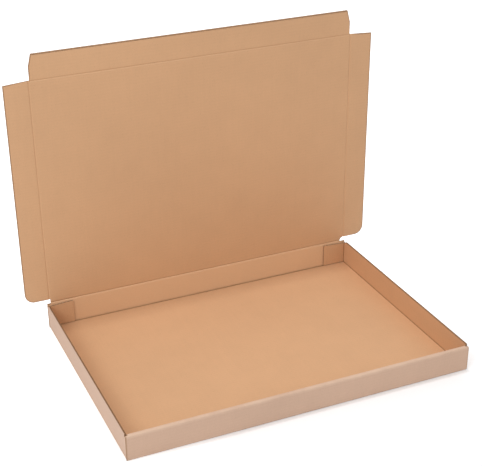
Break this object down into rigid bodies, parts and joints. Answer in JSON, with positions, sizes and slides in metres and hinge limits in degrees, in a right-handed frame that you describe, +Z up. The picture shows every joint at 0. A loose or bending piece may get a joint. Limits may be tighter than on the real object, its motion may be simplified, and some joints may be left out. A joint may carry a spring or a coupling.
{
  "type": "open mailer box",
  "caption": "Shallow folded mailer box of thin corrugated board, open, with a hinged lid, side flaps and a tuck flap, for posting flat goods.",
  "frame": {"origin": "middle of the tray's underside, on the surface that the box stands on", "axes": "+Z up, +Y towards the back wall and the lid's crease, +X to the right seen from the front"},
  "size_m": [0.3946, 0.25, 0.2954],
  "materials": {
    "kraft_board": "matte brown kraft liner"
  },
  "bodies": {
    "tray": {"tray": "kraft_board"},
    "lid": {"lid": "kraft_board"},
    "left_side_flap": {"left_side_flap": "kraft_board"},
    "right_side_flap": {"right_side_flap": "kraft_board"},
    "tuck_flap": {"tuck_flap": "kraft_board"}
  },
  "joints": [
    {"name": "lid_hinge", "type": "hinge", "parent": "tray", "child": "lid", "pos_m": [0, 0.12425, 0.0292], "axis": [1, 0, 0], "range_deg": [-90, 90]},
    {"name": "left_flap_hinge", "type": "hinge", "parent": "lid", "child": "left_side_flap", "pos_m": [-0.1723, 0.12425, 0.1492], "axis": [0, 0, 1], "range_deg": [0, 90]},
    {"name": "right_flap_hinge", "type": "hinge", "parent": "lid", "child": "right_side_flap", "pos_m": [0.1723, 0.12425, 0.1492], "axis": [0, 0, -1], "range_deg": [0, 90]},
    {"name": "tuck_flap_hinge", "type": "hinge", "parent": "lid", "child": "tuck_flap", "pos_m": [0, 0.12425, 0.2692], "axis": [1, 0, 0], "range_deg": [0, 90]}
  ]
}
